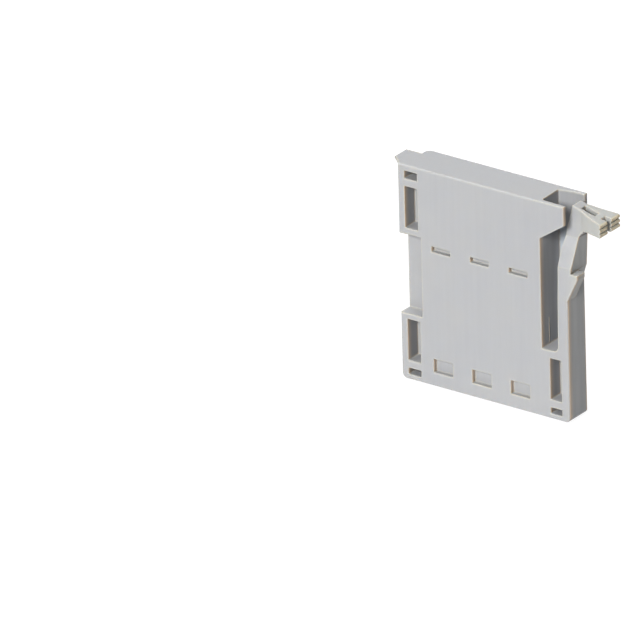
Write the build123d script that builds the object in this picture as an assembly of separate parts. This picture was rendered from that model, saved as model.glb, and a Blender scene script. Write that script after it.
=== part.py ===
# A flat three-way power connector housing with a bending latch arm on one side.
# It is one injection-moulded piece: the arm, its hook and its finger grip grow out of the body,
# and unlatching bends the arm, so one solid is the right build.
#
# The sizes are millimetres measured from the left, front, bottom corner of the body:
# x runs to the latch side, y from the pocketed front to the smooth back, z up from the contact face.
# A size that ends in _drop is measured down from the top, and one that ends in _inset is measured
# in from the latch side. The finished solid is moved so that the centre of the middle contact
# opening is the origin.
import os

from build123d import *

# contacts: square chambers in a row, open at the bottom
contact_count = 3
contact_pitch = 7.5
chamber_width = 3.8
chamber_height = 25.0
chamber_front_wall = 1.92
chamber_back_wall = 1.28
mouth_chamfer = 0.12

# body: a wide front part with a narrower back part behind it
left_margin = 7.8
latch_margin = 9.85
body_width = left_margin + (contact_count - 1) * contact_pitch + latch_margin
body_depth = 7.0
body_height = 37.5
front_depth = 4.8
left_ledge_depth = 3.45
back_left_step = 1.0
back_inset = 1.65
front_corner_radius = 0.9
back_corner_radius = 0.4
front_edge_radius = 0.3
back_edge_radius = 0.4
back_bottom_radius = 1.1

# shallow windows and slots in the front face, one of each in front of every chamber,
# all a little nearer the latch than the chamber behind them
window_width = 3.65
window_height = 2.3
window_bottom = 2.4
slot_width = 3.55
slot_height = 0.9
slot_bottom = 23.5
front_recess_depth = 0.85
front_recess_shift = 0.3

# coring pockets that keep the thick ends of the body from sinking
pocket_depth = 2.8
left_pocket_edge = 1.3
left_pocket_width = 2.4
right_pocket_inset = 1.5
right_pocket_width = 2.15
low_pocket_heights = ((0.9, 1.95), (3.35, 10.5))
high_pocket_drops = ((1.1, 2.4), (3.8, 11.0))

# stepped rest in the left edge, between an upper and a lower ear
rest_width = 4.2
rest_depth = 2.4
lower_ear_height = 11.5
upper_ear_drop = 12.1

# small lug on the upper left edge
lug_reach = 1.9
lug_height = 1.1
lug_lip = 0.4
lug_root_front = 0.4
lug_front = 2.0
lug_ramp_back = 3.2
lug_back = 5.05
lug_edge_radius = 0.2

# round ejector marks on the contact face
mark_diameter = 3.65
mark_depth = 0.12
mark_y = 3.0
left_mark_x = 3.05
right_mark_inset = 4.8

# open space round the latch arm, with the thin plate of the back face behind it
space_inset = 5.15
space_bottom = 11.9
plate_thick = 1.6
plate_thin = 0.95
plate_thin_inset = 2.25
plate_ear_reach = 1.1
plate_ear_drop = 3.5

# thin front tab that covers the top of the arm
tab_inset = 0.45
tab_root_drop = 6.5
tab_end_drop = 3.3
tab_thick = 0.75
tab_root_radius = 0.7

# hook on the outer side of the arm: a long ramp, a short land and a flat ledge
hook_ledge = 25.95
hook_land = 0.75
hook_ramp = 3.9
hook_reach = 1.75
hook_back = 2.5

# latch arm seen from the front: inner side at an inset, outer side swelling out above the hook
arm_thick = 2.0
arm_root_radius = 1.0
arm_bend_bottom_drop = 11.0
arm_bend_inset = 2.25
arm_bend_drop = 8.5
arm_neck_inset = 1.85
arm_neck_drop = 5.3
arm_tip_inset = 0.65
arm_tip_drop = 0.65
arm_swell = 0.5
arm_swell_start = 1.45
arm_swell_end = 0.25

# latch arm seen from the side: it leans back so that it can pass behind the tab
arm_lean = 0.35
arm_lean_end = 0.85
neck_front = 2.7
neck_drop = 6.1
arm_gap = 0.85

# forked finger grip at the end of the arm
grip_reach = 5.3
grip_root = 0.95
grip_gusset_reach = 1.65
grip_gusset_drop = 4.6
grip_outer_drop = 5.9
grip_end_bottom_drop = 4.5
grip_end_top_drop = 2.1
grip_middle_length = 2.85
grip_middle_drop = 1.55
grip_end_front = 1.2
grip_end_back = 6.95
grip_middle_back = 5.95
tooth_count = 3
fork_middle = 3.95
fork_width = 1.15
fork_slot_start = 0.7
fork_slot_stop = 2.0
fork_slot_depth = 1.6
fork_notch_length = 0.8

# how far a cutting shape runs past the face it cuts
past = 1.0


def block(x, y, z):
    """A box given by its two ends along each axis."""
    size = (x[1] - x[0], y[1] - y[0], z[1] - z[0])
    return Pos(x[0], y[0], z[0]) * Box(*size, align=(Align.MIN, Align.MIN, Align.MIN))


def bar(radius, length):
    """A round bar that stands on its end."""
    return Cylinder(radius, length, align=(Align.CENTER, Align.CENTER, Align.MIN))


def slab_xz(points, y0, y1):
    """A front outline given as x and z points, carried from y0 to y1."""
    outline = Plane.XZ * Polygon(*points, align=None)
    return Pos(0, y0, 0) * extrude(outline, amount=y1 - y0, dir=(0, 1, 0))


def slab_xy(points, z0, z1):
    """An outline seen from above, carried from z0 to z1."""
    return Pos(0, 0, z0) * extrude(Polygon(*points, align=None), amount=z1 - z0, dir=(0, 0, 1))


def slab_yz(points, x0, x1):
    """An outline seen from the latch side, carried from x0 to x1."""
    outline = Plane.YZ * Polygon(*points, align=None)
    return Pos(x0, 0, 0) * extrude(outline, amount=x1 - x0, dir=(1, 0, 0))


def top(drop):
    """The height of a point that lies this far below the top of the body."""
    return body_height - drop


def side(inset):
    """The place of a point that lies this far in from the latch side of the body."""
    return body_width - inset


def round_bottom(solid, radius):
    """Rounds the two bottom corners, seen from the front."""
    corners = solid.edges().filter_by(Axis.Y).group_by(Axis.Z)[0]
    return fillet(corners, radius)


def front_part():
    """The wide front part, thinner at the left, with soft edges round the front face."""
    plate = block((0, body_width), (0, front_depth), (0, body_height))
    solid = round_bottom(plate, front_corner_radius)
    rim = solid.faces().sort_by(Axis.Y)[0].edges()
    behind_ledge = block((-past, left_margin), (left_ledge_depth, body_depth), (-past, top(-past)))
    return fillet(rim, front_edge_radius) - behind_ledge


def back_part():
    """The narrower back part, with the ear of the thin plate and soft edges round the back face."""
    right = side(back_inset)
    outline = [
        (back_left_step, 0),
        (right, 0),
        (right, top(plate_ear_drop)),
        (right + plate_ear_reach, top(plate_ear_drop)),
        (right + plate_ear_reach, body_height),
        (back_left_step, body_height),
    ]
    solid = round_bottom(slab_xz(outline, left_ledge_depth, body_depth), back_corner_radius)
    bottom_edge = solid.edges().filter_by(Axis.X).group_by(Axis.Z)[0].sort_by(Axis.Y)[-1]
    solid = fillet(bottom_edge, back_bottom_radius)
    upright = solid.faces().sort_by(Axis.Y)[-1].edges().group_by(Axis.Z)[1:]
    return fillet([edge for level in upright for edge in level], back_edge_radius)


def chambers():
    """The square contact chambers, with a small chamfer at each mouth."""
    cuts = []
    for i in range(contact_count):
        x = left_margin + i * contact_pitch
        half = chamber_width / 2
        cuts.append(block((x - half, x + half), chamber_span(), (-past, chamber_height)))
        cuts.append(chamber_mouth(x))
    return cuts


def chamber_span():
    """The front and back walls of the chambers."""
    return (chamber_front_wall, body_depth - chamber_back_wall)


def chamber_middle():
    """How far the middle of the chambers lies behind the front face."""
    return sum(chamber_span()) / 2


def chamber_mouth(x):
    """The widening at the mouth of the chamber at x."""
    depth = chamber_span()[1] - chamber_span()[0]
    wide = Rectangle(chamber_width + 2 * mouth_chamfer, depth + 2 * mouth_chamfer)
    narrow = Rectangle(chamber_width, depth)
    return loft([Pos(x, chamber_middle(), 0) * wide, Pos(x, chamber_middle(), mouth_chamfer) * narrow])


def front_recesses():
    """The shallow windows and slots in front of the chambers."""
    cuts = []
    for i in range(contact_count):
        x = left_margin + i * contact_pitch + front_recess_shift
        for width, low, height in (
            (window_width, window_bottom, window_height),
            (slot_width, slot_bottom, slot_height),
        ):
            cuts.append(block((x - width / 2, x + width / 2), (-past, front_recess_depth), (low, low + height)))
    return cuts


def pockets():
    """The deep coring pockets near the left and right edges of the front face."""
    left = (left_pocket_edge, left_pocket_edge + left_pocket_width)
    right = (side(right_pocket_inset + right_pocket_width), side(right_pocket_inset))
    cuts = []
    for span in (left, right):
        for height in low_pocket_heights:
            cuts.append(block(span, (-past, pocket_depth), height))
    for upper, lower in high_pocket_drops:
        cuts.append(block(left, (-past, pocket_depth), (top(lower), top(upper))))
    return cuts


def side_rest():
    """The step between the two ears of the left edge."""
    return block((-past, rest_width), (-past, rest_depth), (lower_ear_height, top(upper_ear_drop)))


def lug():
    """The small catch on the upper left edge: a block whose underside slopes back from the front."""
    inside = back_left_step + past
    seen_from_top = [
        (inside, lug_root_front),
        (0, lug_root_front),
        (-lug_reach, lug_front),
        (-lug_reach, lug_back),
        (inside, lug_back),
    ]
    seen_from_side = [
        (0, body_height),
        (lug_back, body_height),
        (lug_back, top(lug_height)),
        (lug_ramp_back, top(lug_height)),
        (lug_front, top(lug_lip)),
        (0, top(lug_lip)),
    ]
    solid = slab_xy(seen_from_top, top(lug_height), body_height)
    solid &= slab_yz(seen_from_side, -lug_reach, inside)
    outer_top = solid.faces().sort_by(Axis.X)[0].edges().group_by(Axis.Z)[-1]
    return fillet(outer_top, lug_edge_radius)


def marks():
    """The round ejector marks pressed into the contact face."""
    places = (left_mark_x, side(right_mark_inset))
    return [Pos(x, mark_y, 0) * bar(mark_diameter / 2, mark_depth) for x in places]


def latch_space():
    """The room round the latch arm, which leaves only the thin plate at the back."""
    far = side(back_inset) + plate_ear_reach + past
    outline = [
        (side(space_inset), -past),
        (far, -past),
        (far, body_depth - plate_thin),
        (side(plate_thin_inset), body_depth - plate_thin),
        (side(space_inset), body_depth - plate_thick),
    ]
    return slab_xy(outline, space_bottom, top(-past))


def inner_fillet(corner_x, corner_y, r):
    """The round filling of an upright inner corner that opens to the right and to the back."""
    corner = block((corner_x, corner_x + r), (corner_y, corner_y + r), (0, body_height))
    return corner - Pos(corner_x + r, corner_y + r, 0) * bar(r, body_height)


def tab():
    """The thin tab of the front face that reaches over the arm, rounded into the slot's wall."""
    root = side(space_inset)
    inside = root - past
    end = side(tab_inset)
    outline = [
        (inside, top(tab_root_drop)),
        (root, top(tab_root_drop)),
        (end, top(tab_end_drop)),
        (end, body_height),
        (inside, body_height),
    ]
    plate = block((inside, end), (0, tab_thick), (0, body_height))
    return slab_xz(outline, 0, body_depth) & (plate + inner_fillet(root, tab_thick, tab_root_radius))


def latch_front_view():
    """The arm and its grip as one outline seen from the front."""
    root = space_bottom - past
    outer = side(-arm_swell)
    end = side(-grip_reach)
    outline = [
        (side(arm_thick), root),
        (body_width, root),
        (body_width, hook_ledge - arm_swell_start),
        (outer, hook_ledge + arm_swell_end),
        (outer, top(grip_outer_drop)),
        (side(-grip_gusset_reach), top(grip_gusset_drop)),
        (end, top(grip_end_bottom_drop)),
        (end, top(grip_end_top_drop)),
        (end - grip_middle_length, top(grip_middle_drop)),
        (side(arm_tip_inset), top(arm_tip_drop)),
        (side(arm_neck_inset), top(arm_neck_drop)),
        (side(arm_bend_inset), top(arm_bend_drop)),
        (side(arm_thick), top(arm_bend_bottom_drop)),
    ]
    return slab_xz(outline, -past, 2 * body_depth)


def hook():
    """The wedge that catches the mating housing: a long ramp and a flat ledge on top."""
    inside = side(past)
    point = side(-hook_reach)
    land = hook_ledge - hook_land
    outline = [
        (inside, land - hook_ramp),
        (body_width, land - hook_ramp),
        (point, land),
        (point, hook_ledge),
        (inside, hook_ledge),
    ]
    return slab_xz(outline, -past, hook_back)


def teeth():
    """The rounded ridges across the end of the grip."""
    bottom = top(grip_end_bottom_drop)
    tooth = (grip_end_bottom_drop - grip_end_top_drop) / tooth_count
    ridge = Rot(-90, 0, 0) * bar(tooth / 2, 2 * body_depth)
    return [Pos(side(-grip_reach), 0, bottom + (i + 0.5) * tooth) * ridge for i in range(tooth_count)]


def arm_side_view():
    """The arm as seen from the latch side: its front leans back so it can pass behind the tab."""
    lean_start = hook_ledge - hook_land - hook_ramp
    neck_back = body_depth - plate_thin - arm_gap
    neck_top = top(grip_outer_drop) + past
    outline = [
        (0, 0),
        (0, lean_start),
        (arm_lean, hook_ledge + arm_lean_end),
        (neck_front, top(neck_drop)),
        (neck_front, neck_top),
        (neck_back, neck_top),
        (neck_back, top(neck_drop)),
        (front_depth, hook_ledge - arm_swell_start),
        (front_depth, 0),
    ]
    return slab_yz(outline, 0, side(-grip_reach - past))


def grip_fan():
    """The neck and grip as seen from above: the grip widens towards its toothed end."""
    end = side(-grip_reach - past)
    neck_back = body_depth - plate_thin - arm_gap
    points = [
        (0, neck_front),
        (side(-grip_root), neck_front),
        (end, grip_end_front),
        (end, grip_end_back),
        (side(grip_middle_length - grip_reach), grip_middle_back),
        (side(-arm_swell), neck_back),
        (0, neck_back),
    ]
    return slab_xy(points, top(grip_outer_drop), body_height)


def root_fillet():
    """The rounded inner corner where the arm grows out of the body."""
    r = arm_root_radius
    inner = side(arm_thick)
    corner = block((inner - r, inner), (0, front_depth), (space_bottom - past, space_bottom + r))
    hollow = Rot(-90, 0, 0) * bar(r, 2 * body_depth)
    return corner - Pos(inner - r, -past, space_bottom + r) * hollow


def outer_corner():
    """What the soft front edge of the body takes off the arm, up to the hook."""
    r = front_edge_radius
    hook_bottom = hook_ledge - hook_land - hook_ramp
    strip = block((side(r), side(-past)), (-past, r), (space_bottom - past, hook_bottom))
    return strip - Pos(side(r), r, 0) * bar(r, body_height)


def fork_slot():
    """The blind slot in the top of the grip."""
    span = (side(-fork_slot_start), side(fork_slot_stop - grip_reach))
    return block(span, fork_span(), (top(grip_middle_drop + fork_slot_depth), body_height))


def fork_notch():
    """The notch that splits the toothed end in two."""
    span = (side(fork_notch_length - grip_reach), side(-grip_reach - past))
    return block(span, fork_span(), (0, body_height))


def fork_span():
    """The front and back walls of the slot and the notch in the grip."""
    return (fork_middle - fork_width / 2, fork_middle + fork_width / 2)


def latch():
    """The whole bending latch: arm, hook and forked grip."""
    solid = latch_front_view() + hook()
    for ridge in teeth():
        solid += ridge
    solid &= arm_side_view() + grip_fan()
    solid -= outer_corner()
    return solid - fork_slot() - fork_notch() + root_fillet()


def housing():
    """The finished one-piece housing, still on its corner coordinates."""
    solid = front_part() + back_part()
    solid -= latch_space()
    solid -= side_rest()
    for cut in chambers() + front_recesses() + pockets() + marks():
        solid -= cut
    solid += lug()
    solid += tab()
    solid += latch()
    return solid


def main():
    os.makedirs("parts", exist_ok=True)
    middle_contact_x = left_margin + (contact_count - 1) / 2 * contact_pitch
    solid = Pos(-middle_contact_x, -chamber_middle(), 0) * housing()
    solid.label = "connector_housing"
    solid.color = Color(0.72, 0.72, 0.71)
    export_step(solid, "parts/connector_housing.step")


main()
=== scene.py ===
# %% [markdown]
# # A light grey stacking connector housing
#
# The real object is one injection-moulded piece of grey polyamide. It stands on its contact face. Its
# wide front has coring pockets, slots and windows, and a springy latch arm runs up its right side. The
# shape comes finished from the CAD model, so this lesson is about the looks: how to soften the edges
# that a mould leaves soft, how to make moulded nylon look like nylon, and how to light it.

import math

import bmesh
import bpy
from mathutils import Matrix, Vector


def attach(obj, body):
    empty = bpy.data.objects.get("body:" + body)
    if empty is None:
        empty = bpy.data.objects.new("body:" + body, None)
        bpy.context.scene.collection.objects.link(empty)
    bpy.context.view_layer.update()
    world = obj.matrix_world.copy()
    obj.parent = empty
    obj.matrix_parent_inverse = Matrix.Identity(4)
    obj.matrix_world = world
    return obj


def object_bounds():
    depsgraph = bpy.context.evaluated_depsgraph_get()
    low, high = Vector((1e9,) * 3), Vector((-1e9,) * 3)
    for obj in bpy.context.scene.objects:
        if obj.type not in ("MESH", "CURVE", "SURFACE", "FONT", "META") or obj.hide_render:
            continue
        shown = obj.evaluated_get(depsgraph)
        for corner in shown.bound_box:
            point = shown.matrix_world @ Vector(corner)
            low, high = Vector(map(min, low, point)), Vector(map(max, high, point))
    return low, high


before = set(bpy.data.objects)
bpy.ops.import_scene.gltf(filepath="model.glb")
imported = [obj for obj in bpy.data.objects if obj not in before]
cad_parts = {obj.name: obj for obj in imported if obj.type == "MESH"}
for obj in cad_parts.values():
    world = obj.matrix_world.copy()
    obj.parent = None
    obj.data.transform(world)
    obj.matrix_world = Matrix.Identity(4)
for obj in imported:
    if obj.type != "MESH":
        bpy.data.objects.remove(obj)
cad_low, cad_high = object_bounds()
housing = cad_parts["connector_housing"]
scene = bpy.context.scene

MM = 0.001
cad_size = cad_high - cad_low
print(f"housing: {len(housing.data.polygons)} faces, {[round(v / MM, 2) for v in cad_size]} mm")

# %% [markdown]
# ## The camera
#
# The photograph was taken from far away with a long lens, so parallel edges of the housing stay nearly
# parallel. Lining up the corners of the housing with the picture gives three things: which way the
# camera's right and forward directions run, how many pixels a millimetre covers, and where one known
# corner falls. A camera built from those puts every edge where the photograph has it. A shorter lens
# would be easier to place by hand, but the far edges would then shrink too much.

# %% Place the camera from the corner that was lined up
PHOTO_SIDE = 640
PIXELS_PER_MM = 6.27321
CORNER_PIXEL = (402.271, 377.142)
LENS_MM = 1400.0
SENSOR_MM = 36.0
FARTHEST = 20.0

corner = Vector((-15.3, -3.82, 0.0)) * MM
forward = Vector((-0.5370, 0.7338, -0.4161)).normalized()
right = Vector((0.8129, 0.5819, -0.0231))
right = (right - right.dot(forward) * forward).normalized()
up = right.cross(forward)

camera_data = bpy.data.cameras.new("camera")
camera_data.sensor_width = SENSOR_MM
camera_data.lens = LENS_MM
camera_data.clip_end = FARTHEST
focal_pixels = LENS_MM / SENSOR_MM * PHOTO_SIDE
distance = focal_pixels / PIXELS_PER_MM * MM

across = (CORNER_PIXEL[0] - PHOTO_SIDE / 2) / PIXELS_PER_MM * MM
above = (PHOTO_SIDE / 2 - CORNER_PIXEL[1]) / PIXELS_PER_MM * MM
camera = bpy.data.objects.new("camera", camera_data)
camera.matrix_world = Matrix.Translation(
    corner - across * right - above * up - distance * forward
) @ Matrix((right, up, -forward)).transposed().to_4x4()
scene.collection.objects.link(camera)
scene.camera = camera
print(f"camera: {LENS_MM:.0f} mm lens, {distance:.2f} m from the housing's corner")

# %% [markdown]
# ## Light and floor
#
# The picture is a product shot on white: a big soft source in front, one overhead, and little light
# from the right, so the latch side is the darkest. Softboxes could be modelled as area lights, but
# these fall off across the floor and leave a bright patch. Suns with a wide angle light everything
# evenly and still give soft shadows, so they stand in for softboxes that are large and far away.
# The front one hangs about 29 degrees above the table. It lights the ledges in the pockets, the floors
# of the windows and the leaning arm, and the walls of the slots stay dark. A weak one behind shows the
# plain back to a camera that walks around the part, and nothing that it lights is seen in this picture.
#
# Product pictures are finished with more contrast than the light on the table gives. Deeper shade
# could come from a darker table, but the table in the picture is pure white. So the contrast is set
# where a photographer sets it, in the development of the picture.

# %% Turn sRGB hex colours to linear
def linear(code):
    """An sRGB colour such as "C4C5C6" as the linear colour that a socket takes."""
    values = [int(code[i : i + 2], 16) / 255 for i in (0, 2, 4)]
    curve = [v / 12.92 if v <= 0.04045 else ((v + 0.055) / 1.055) ** 2.4 for v in values]
    return (*curve, 1.0)


print("linear: mid grey 808080 is", [round(v, 3) for v in linear("808080")[:3]])

# %% Softboxes as wide suns
def softbox(name, towards, strength, spread):
    """A white sun that shines from the direction towards, spread degrees wide."""
    light = bpy.data.lights.new(name, "SUN")
    light.energy = strength
    light.angle = math.radians(spread)
    lamp = bpy.data.objects.new(name, light)
    lamp.rotation_mode = "QUATERNION"
    lamp.rotation_quaternion = Vector(towards).to_track_quat("Z", "Y")
    scene.collection.objects.link(lamp)
    print(f"{name}: strength {strength}, {spread} degrees wide")


softbox("front_softbox", towards=(0.17, -0.86, 0.48), strength=3.9, spread=20)
softbox("overhead_softbox", towards=(-0.2, 0.05, 1.0), strength=2.85, spread=36)
softbox("rear_softbox", towards=(-0.3, 0.95, 0.12), strength=1.25, spread=40)

# %% A dim white room
ROOM_STRENGTH = 0.05

world = bpy.data.worlds.new("studio")
scene.world = world
world.use_nodes = True
backdrop = world.node_tree.nodes["Background"]
backdrop.inputs["Color"].default_value = linear("F6F8FB")
backdrop.inputs["Strength"].default_value = ROOM_STRENGTH
print(f"room: cool white, strength {ROOM_STRENGTH}")

# %% Develop the picture with more contrast
PICTURE_GAMMA = 0.8

scene.view_settings.view_transform = "Standard"
scene.view_settings.gamma = PICTURE_GAMMA
print(f"contrast: gamma {PICTURE_GAMMA}, below one darkens the middle tones and leaves white")

# %% White table under the housing
# Opal acrylic is cast as a sheet with white pigment, and its matt side lies up, so it mirrors nothing.
# Lit from below, it shines evenly, nearly as bright as the paper white of the picture. Its own colour
# is set dark, so that the shadow of the housing drowns in the glow.
FLOOR_DROP = 0.05 * MM
FLOOR_SIDE = 3.0
TABLE_GLOW = 0.9
TABLE_ROUGHNESS = 0.9

half_side = FLOOR_SIDE / 2
corners = [(x * half_side, y * half_side) for x, y in ((-1, -1), (1, -1), (1, 1), (-1, 1))]
floor_mesh = bpy.data.meshes.new("floor")
floor_mesh.from_pydata([(x, y, -FLOOR_DROP) for x, y in corners], [], [(0, 1, 2, 3)])
floor = bpy.data.objects.new("floor", floor_mesh)
scene.collection.objects.link(floor)
white_table = bpy.data.materials.new("white_opal_acrylic_lit_from_below")
white_table.use_nodes = True
table_shader = white_table.node_tree.nodes["Principled BSDF"]
table_shader.inputs["Base Color"].default_value = linear("595959")
table_shader.inputs["Roughness"].default_value = TABLE_ROUGHNESS
table_shader.inputs["Emission Color"].default_value = linear("FFFFFF")
table_shader.inputs["Emission Strength"].default_value = TABLE_GLOW
floor_mesh.materials.append(white_table)
print(f"floor: {FLOOR_SIDE} m square, {FLOOR_DROP / MM:.2f} mm under the contact face")

# %% [markdown]
# ## Soft edges
#
# No edge of a moulding is a razor: molten nylon doesn't fill a sharp corner of the steel, and the steel
# itself is broken by polishing. Each small edge catches a thin line of light, which is what makes
# plastic look moulded. The bigger radii are in the CAD model. The small ones could be drawn by a bump,
# but then an outline stays sharp. Here a bevel makes them as real faces, and only where two faces meet
# at a steep angle, so that the facets of the round corners stay as they are.
#
# The CAD model comes as triangles. Merging the doubled points and dissolving flat triangles first gives
# the bevel clean faces to work along. Short edges are facets of an arc. A bevel between two of them that
# lie almost in line shoots far out of the part, so they are left alone. They are marked as sharp
# instead, or the shading would run around them and blacken the teeth of the grip. The lug at the top
# left is only 0.4 mm thick at its front, so the softness of every edge stays under half of that.

# %% One small function that adds a node
def add(tree, kind, settings=None, sockets=None):
    """Adds a node. Settings are its options. A socket takes a value, or another node's output."""
    made = tree.nodes.new(kind)
    for name, value in (settings or {}).items():
        setattr(made, name, value)
    for name, value in (sockets or {}).items():
        if isinstance(value, bpy.types.NodeSocket):
            tree.links.new(value, made.inputs[name])
        else:
            made.inputs[name].default_value = value
    return made


print("add: ready for node trees")

# %% Merge points and dissolve flat triangles
SAME_POINT = 0.001 * MM
FLAT = math.radians(0.5)

weld = housing.modifiers.new("merge_points", "WELD")
weld.merge_threshold = SAME_POINT
flat = housing.modifiers.new("dissolve_flat", "DECIMATE")
flat.decimate_type = "DISSOLVE"
flat.angle_limit = FLAT
print(f"housing: faces within {math.degrees(FLAT):.1f} degrees of each other joined")

# %% Mark the edges to soften, and the hard ones that stay
STEEP = math.radians(50)
CRISP = math.radians(32)
SHORTEST_SOFT = 0.4 * MM
MORE = {"operation": "GREATER_THAN"}

marks = bpy.data.node_groups.new("mark_steep_edges", "GeometryNodeTree")
marks.interface.new_socket("Geometry", in_out="INPUT", socket_type="NodeSocketGeometry")
marks.interface.new_socket("Geometry", in_out="OUTPUT", socket_type="NodeSocketGeometry")
entry = add(marks, "NodeGroupInput")
angle = add(marks, "GeometryNodeInputMeshEdgeAngle")
ends = add(marks, "GeometryNodeInputMeshEdgeVertices")
length = add(
    marks,
    "ShaderNodeVectorMath",
    {"operation": "DISTANCE"},
    {0: ends.outputs["Position 1"], 1: ends.outputs["Position 2"]},
)
steep, folded, long_enough = (
    add(marks, "FunctionNodeCompare", MORE, {0: measure, 1: least})
    for measure, least in (
        (angle.outputs[0], STEEP),
        (angle.outputs[0], CRISP),
        (length.outputs["Value"], SHORTEST_SOFT),
    )
)
chosen = add(
    marks,
    "FunctionNodeBooleanMath",
    {"operation": "AND"},
    {0: steep.outputs[0], 1: long_enough.outputs[0]},
)
weight = add(
    marks,
    "GeometryNodeStoreNamedAttribute",
    {"data_type": "FLOAT", "domain": "EDGE"},
    {"Geometry": entry.outputs[0], "Selection": chosen.outputs[0], "Name": "bevel_weight_edge", "Value": 1.0},
)
left_hard = add(
    marks,
    "FunctionNodeBooleanMath",
    {"operation": "NIMPLY"},
    {0: folded.outputs[0], 1: chosen.outputs[0]},
)
crisp = add(
    marks,
    "GeometryNodeStoreNamedAttribute",
    {"data_type": "BOOLEAN", "domain": "EDGE"},
    {"Geometry": weight.outputs[0], "Name": "sharp_edge", "Value": left_hard.outputs[0]},
)
add(marks, "NodeGroupOutput", {}, {0: crisp.outputs[0]})
marking = housing.modifiers.new("mark_steep_edges", "NODES")
marking.node_group = marks
print(f"marked: edges over {math.degrees(STEEP):.0f} degrees and {SHORTEST_SOFT / MM} mm long")

# %% Bevel the marked edges
EDGE_SOFTNESS = 0.15 * MM
EDGE_SEGMENTS = 3

soften = housing.modifiers.new("soften_edges", "BEVEL")
soften.limit_method = "WEIGHT"
soften.width = EDGE_SOFTNESS
soften.segments = EDGE_SEGMENTS
soften.use_clamp_overlap = False
even = housing.modifiers.new("even_shading", "WEIGHTED_NORMAL")
even.keep_sharp = True
print(f"edges softened by {EDGE_SOFTNESS / MM} mm")

# %% [markdown]
# ## Moulded grey polyamide
#
# Polyamide, or nylon, is filled with grey pigment and shot into polished steel. It gives the eye a satin
# face that is neither glossy nor chalky, fine lines where the steel was stoned from top to bottom, and
# a slight unevenness of tone. It also lets a little light through. Rims, the thin plate, the slender grip
# and the ends of its teeth look lighter than the thick body, and dark walls next to the bright front look
# brown. All of that is light and shade, and here it is painted into the colour.
#
# A plain grey with a roughness would miss all of these, so each gets its own few nodes, scaled in
# millimetres. The light that passes through could be left to strong scattering in the shader, but that
# mottles the flat faces. So the scattering stays weak, and these places get painted light instead: their
# own tones, by where they lie in the part and which way they face.

# %% Start the material
# The fine grain of the steel breaks up reflections, so the specular level is low. With more of it the
# top of the part turns white to a camera that looks from behind.
polyamide = bpy.data.materials.new("grey_polyamide_moulded")
polyamide.use_nodes = True
nodes = polyamide.node_tree
shader = nodes.nodes["Principled BSDF"]
for name, value in (
    ("IOR", 1.53),
    ("Specular IOR Level", 0.12),
    ("Subsurface Weight", 0.2),
    ("Subsurface Radius", (1.0, 0.75, 0.5)),
    ("Subsurface Scale", 0.5 * MM),
):
    shader.inputs[name].default_value = value
place = add(nodes, "ShaderNodeTexCoord")
in_mm = add(
    nodes,
    "ShaderNodeVectorMath",
    {"operation": "SCALE"},
    {0: place.outputs["Object"], "Scale": 1 / MM},
)
position = add(nodes, "ShaderNodeSeparateXYZ", {}, {0: in_mm.outputs[0]})
facing = add(nodes, "ShaderNodeSeparateXYZ", {}, {0: place.outputs["Normal"]})
print("polyamide: satin shader with a little light scattered inside")

# %% Fine grain, stoning lines and uneven tone
# Spark-eroded grain is about 0.02 mm on real steel. That is too fine for the picture, so it is drawn
# as coarse as it needs to show.
GRAIN_MM = 0.3
TONE_MM = 7.0
LINE_GAP_MM = 0.45
WALL_LINE_GAP_MM = 0.9
LINE_LENGTH_MM = 16.0
LINE_DETAIL = 3.0
MULTIPLY = {"operation": "MULTIPLY"}

grain, tone = (
    add(nodes, "ShaderNodeTexNoise", {}, {"Vector": in_mm.outputs[0], "Scale": 1 / size_mm})
    for size_mm in (GRAIN_MM, TONE_MM)
)
drawn = []
for gap_mm in (LINE_GAP_MM, WALL_LINE_GAP_MM):
    stretched = add(
        nodes,
        "ShaderNodeVectorMath",
        MULTIPLY,
        {0: in_mm.outputs[0], 1: (1 / gap_mm, 1 / gap_mm, 1 / LINE_LENGTH_MM)},
    )
    sockets = {"Vector": stretched.outputs[0], "Scale": 1.0, "Detail": LINE_DETAIL}
    drawn.append(add(nodes, "ShaderNodeTexNoise", {}, sockets))
lines, wall_lines = drawn
print(f"grain {GRAIN_MM} mm, lines {LINE_GAP_MM} and {WALL_LINE_GAP_MM} mm apart, tone {TONE_MM} mm")

# %% Find the rims
# The second bevel node rounds the edges much wider than they are. Where its direction leaves the true
# one, an edge is near. The range is the cosine between the two where a rim begins and where it is full.
ROUND_MM = 0.25
RIM_MM = 0.5
RIM = {"From Min": 0.998, "From Max": 0.92}

rounded = add(nodes, "ShaderNodeBevel", {"samples": 6}, {"Radius": ROUND_MM * MM})
wide_round = add(nodes, "ShaderNodeBevel", {"samples": 8}, {"Radius": RIM_MM * MM})
surface = add(nodes, "ShaderNodeNewGeometry")
agree = add(
    nodes,
    "ShaderNodeVectorMath",
    {"operation": "DOT_PRODUCT"},
    {0: wide_round.outputs[0], 1: surface.outputs["Normal"]},
)
rim = add(nodes, "ShaderNodeMapRange", {}, {"Value": agree.outputs["Value"], **RIM})
print(f"rims: up to {RIM_MM} mm wide")

# %% Find the walls that face left or right
# The steel blades that form the slots and the latch side are ground along their length. Their lines
# are coarser than the polished front's, and show as light and dark streaks on the walls.
SIDE_WALL = {"From Min": 0.8, "From Max": 0.95}

either_way = add(nodes, "ShaderNodeMath", {"operation": "ABSOLUTE"}, {0: facing.outputs["X"]})
sideways = add(nodes, "ShaderNodeMapRange", {}, {"Value": either_way.outputs[0], **SIDE_WALL})
print("walls: streaks where the surface faces left or right")

# %% Find the thin plate behind the latch slot
# The plate is about 1 mm thick. It is painted lighter and cooler than the thick front: painted light for
# the front light that falls on it deep in the slot. It lies deep in the part, ends at the top of the slot,
# and faces front.
PLATE_FROM_Y_MM = 1.5
SLOT_TOP_Z_MM = 31.0
FACES_FRONT = -0.9
LESS = {"operation": "LESS_THAN"}

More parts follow.
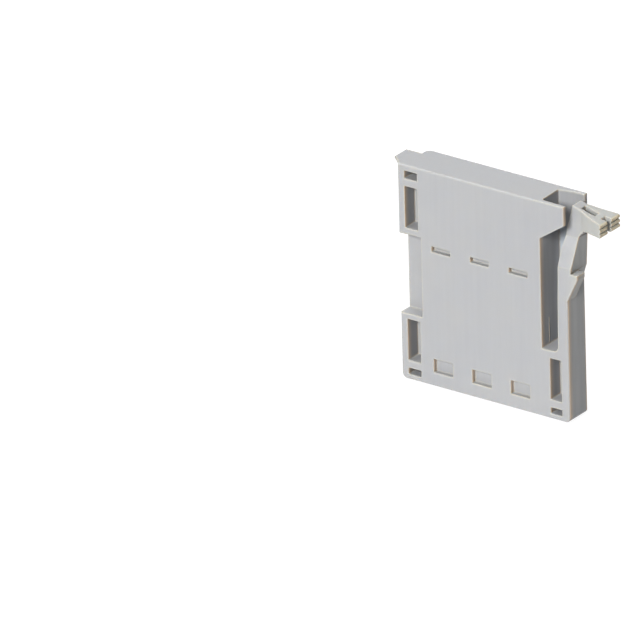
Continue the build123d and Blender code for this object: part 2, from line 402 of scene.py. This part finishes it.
far_back, below_top, to_front = (
    add(nodes, "ShaderNodeMath", test, {0: measure, 1: limit})
    for test, measure, limit in (
        (MORE, position.outputs["Y"], PLATE_FROM_Y_MM),
        (LESS, position.outputs["Z"], SLOT_TOP_Z_MM),
        (LESS, facing.outputs["Y"], FACES_FRONT),
    )
)
at_plate = add(nodes, "ShaderNodeMath", MULTIPLY, {0: far_back.outputs[0], 1: below_top.outputs[0]})
plate = add(nodes, "ShaderNodeMath", MULTIPLY, {0: at_plate.outputs[0], 1: to_front.outputs[0]})
print(f"thin plate: from y {PLATE_FROM_Y_MM} mm, up to z {SLOT_TOP_Z_MM} mm")

# %% Find the finger grip and the ends of its teeth
# The grip is slender, so light passes through it too. That light is painted in: the grip's colour is a
# little lighter and warmer. The ends of its teeth, the thinnest of all, face the dim right side but catch
# the light from above. That light is painted on them as a nearly cream tone.
GRIP_MM = {"From Min": 16.5, "From Max": 20.0}
TEETH_FROM_MM = 22.3
FACES_RIGHT = {"From Min": 0.3, "From Max": 0.7}

grip = add(nodes, "ShaderNodeMapRange", {}, {"Value": position.outputs["X"], **GRIP_MM})
at_teeth = add(nodes, "ShaderNodeMath", MORE, {0: position.outputs["X"], 1: TEETH_FROM_MM})
to_right = add(nodes, "ShaderNodeMapRange", {}, {"Value": facing.outputs["X"], **FACES_RIGHT})
tooth_ends = add(nodes, "ShaderNodeMath", MULTIPLY, {0: at_teeth.outputs[0], 1: to_right.outputs[0]})
print(f"grip: from x {GRIP_MM['From Max']} mm, ends of its teeth from {TEETH_FROM_MM} mm")

# %% Find the brown strip of the side walls
# Light from the bright front bleeds into the dark side walls. That glow is painted light: their first
# millimetre is painted brown, fading out behind the front.
FRONT_Y_MM = -3.82
BLEED_MM = 1.1
BLEED_LIGHT_SHARE = {"From Min": FRONT_Y_MM, "From Max": FRONT_Y_MM + BLEED_MM, "To Min": 0.85, "To Max": 0.0}

near_front = add(nodes, "ShaderNodeMapRange", {}, {"Value": position.outputs["Y"], **BLEED_LIGHT_SHARE})
painted_bleed_light = add(nodes, "ShaderNodeMath", MULTIPLY, {0: near_front.outputs[0], 1: sideways.outputs[0]})
print(f"stain: fades out {BLEED_MM} mm behind the front")

# %% Mix the colours
# A colour mix takes its two colours in sockets 6 and 7, and gives the result in output 2.
COLOURS = {"data_type": "RGBA"}

body_tones = {6: linear("A1A2A5"), 7: linear("A6A6A6")}
tinted = add(nodes, "ShaderNodeMix", COLOURS, {"Factor": tone.outputs["Fac"], **body_tones})
# Painted light: the plate, the grip, the ends of its teeth and the strip of the side walls get lighter,
# warmer or browner tones in place of light that falls on them, passes through them or bleeds into them.
for name, where, code in (
    ("plate", plate, "B3B8BD"),
    ("grip", grip, "A9A9A6"),
    ("tooth ends", tooth_ends, "C8C0AC"),
    ("painted bleed light on side walls", painted_bleed_light, "C9B49D"),
):
    sockets = {"Factor": where.outputs[0], 6: tinted.outputs[2], 7: linear(code)}
    tinted = add(nodes, "ShaderNodeMix", COLOURS, sockets)
    print(f"{name}: {code}")

# %% Draw the lines of the steel
# The noise seldom leaves the range between From Min and From Max. To Min and To Max are the darkest and
# lightest share of the colour. A mix of numbers takes them in sockets 2 and 3.
FRONT_LINES = {"From Min": 0.3, "From Max": 0.7, "To Min": 0.988, "To Max": 1.012}
BLADE_LINES = {"From Min": 0.35, "From Max": 0.65, "To Min": 0.94, "To Max": 1.03}

front_lines, blade_lines = (
    add(nodes, "ShaderNodeMapRange", {}, {"Value": pattern.outputs["Fac"], **shares})
    for pattern, shares in ((lines, FRONT_LINES), (wall_lines, BLADE_LINES))
)
line_tone = add(
    nodes,
    "ShaderNodeMix",
    {"data_type": "FLOAT"},
    {"Factor": sideways.outputs[0], 2: front_lines.outputs[0], 3: blade_lines.outputs[0]},
)
streaked = add(
    nodes,
    "ShaderNodeVectorMath",
    {"operation": "SCALE"},
    {0: tinted.outputs[2], "Scale": line_tone.outputs[0]},
)
print(f"lines: front {FRONT_LINES['To Min']} to {FRONT_LINES['To Max']} of the colour")

# %% Paint light on the rims
# A rim of the front is painted pale: a painted highlight, the thin line of light along an edge. A rim of
# a side wall is painted brown, like the painted light of the strip that it borders.
rim_tones = {6: linear("B7B5AC"), 7: linear("C7B093")}
rim_tone = add(nodes, "ShaderNodeMix", COLOURS, {"Factor": sideways.outputs[0], **rim_tones})
rimmed = add(
    nodes,
    "ShaderNodeMix",
    COLOURS,
    {"Factor": rim.outputs[0], 6: streaked.outputs[0], 7: rim_tone.outputs[2]},
)
nodes.links.new(rimmed.outputs[2], shader.inputs["Base Color"])
print("rims: pale on the front, brown on the side walls")

# %% Roughness and relief
SATIN = {"From Min": 0.3, "From Max": 0.7, "To Min": 0.56, "To Max": 0.62}
LINE_DEPTH_MM = 0.0015
GRAIN_DEPTH_MM = 0.003

gloss = add(nodes, "ShaderNodeMapRange", {}, {"Value": lines.outputs["Fac"], **SATIN})
nodes.links.new(gloss.outputs[0], shader.inputs["Roughness"])
relief = rounded
for pattern, depth_mm in ((lines, LINE_DEPTH_MM), (grain, GRAIN_DEPTH_MM)):
    relief = add(
        nodes,
        "ShaderNodeBump",
        {},
        {"Distance": depth_mm * MM, "Height": pattern.outputs["Fac"], "Normal": relief.outputs[0]},
    )
nodes.links.new(relief.outputs[0], shader.inputs["Normal"])
for slot in housing.material_slots:
    slot.material = polyamide
print(f"polyamide: {len(nodes.nodes)} nodes on {len(housing.material_slots)} slot")

# %% [markdown]
# ## Mould witness lines
#
# Where two blocks of steel meet, the plastic keeps a hair-thin raised line. The housing has one on the
# left wall of the latch slot and two across the contact face. Each could be painted on, but a real ridge
# catches the light from any side. It is drawn as a low rounded strip whose height fades out at both ends
# and wavers a little on the way, because the gap between two steel blocks is never quite even.

# %% A strip that follows a line
# The outline of the strip goes from one foot over the crest to the other foot, in shares of its width
# and height. The feet lie below the wall. A slow wave that a quick one shifts makes the height waver.
STATIONS = 24
OUTLINE = ((-0.5, -0.5), (-0.35, 0.55), (0.0, 1.0), (0.35, 0.55), (0.5, -0.5))
FADE_POWER = 0.35
WAVER = 0.15
SLOW_WAVE = 9.0
QUICK_WAVE = 23.0
WAVE_SHIFT = 1.7


def witness_line(name, start, end, outward, width, height):
    """A low rounded ridge from start to end, in millimetres, on a wall that faces outward."""
    run = Vector(end) - Vector(start)
    out = Vector(outward)
    breadth = run.cross(out).normalized() * width
    mesh = bmesh.new()
    rings = []
    for i in range(STATIONS + 1):
        along = i / STATIONS
        wave = math.sin(SLOW_WAVE * along + WAVE_SHIFT * math.sin(QUICK_WAVE * along))
        crest = height * math.sin(math.pi * along) ** FADE_POWER * (1.0 - WAVER + WAVER * wave)
        ring = []
        for across_share, up_share in OUTLINE:
            lift = up_share * (crest if up_share > 0 else height)
            point = Vector(start) + run * along + breadth * across_share + out * lift
            ring.append(mesh.verts.new(point * MM))
        rings.append(ring)
    for near, far in zip(rings, rings[1:]):
        for k in range(len(OUTLINE)):
            j = (k + 1) % len(OUTLINE)
            mesh.faces.new((near[k], near[j], far[j], far[k]))
    mesh.faces.new(rings[0][::-1])
    mesh.faces.new(rings[-1])
    bmesh.ops.recalc_face_normals(mesh, faces=mesh.faces)
    data = bpy.data.meshes.new(name)
    mesh.to_mesh(data)
    mesh.free()
    data.materials.append(polyamide)
    data.shade_smooth()
    piece = bpy.data.objects.new(name, data)
    scene.collection.objects.link(piece)
    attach(piece, "root")
    print(f"{name}: {run.length:.1f} mm long, {height} mm high, {len(data.polygons)} faces")


print("witness_line: ready")

# %% One ridge in the latch slot, two on the contact face
SLOT_WALL_X = 12.2
CONTACT_LINE_X = 9.65

witness_line(
    "slot_witness_line",
    start=(SLOT_WALL_X, -1.7, 11.9),
    end=(SLOT_WALL_X, -1.7, 16.6),
    outward=(1, 0, 0),
    width=0.18,
    height=0.07,
)
for name, x in (
    ("contact_face_witness_line_left", -CONTACT_LINE_X),
    ("contact_face_witness_line_right", CONTACT_LINE_X),
):
    witness_line(name, start=(x, -2.9, 0.0), end=(x, 2.0, 0.0), outward=(0, 0, -1), width=0.1, height=0.03)
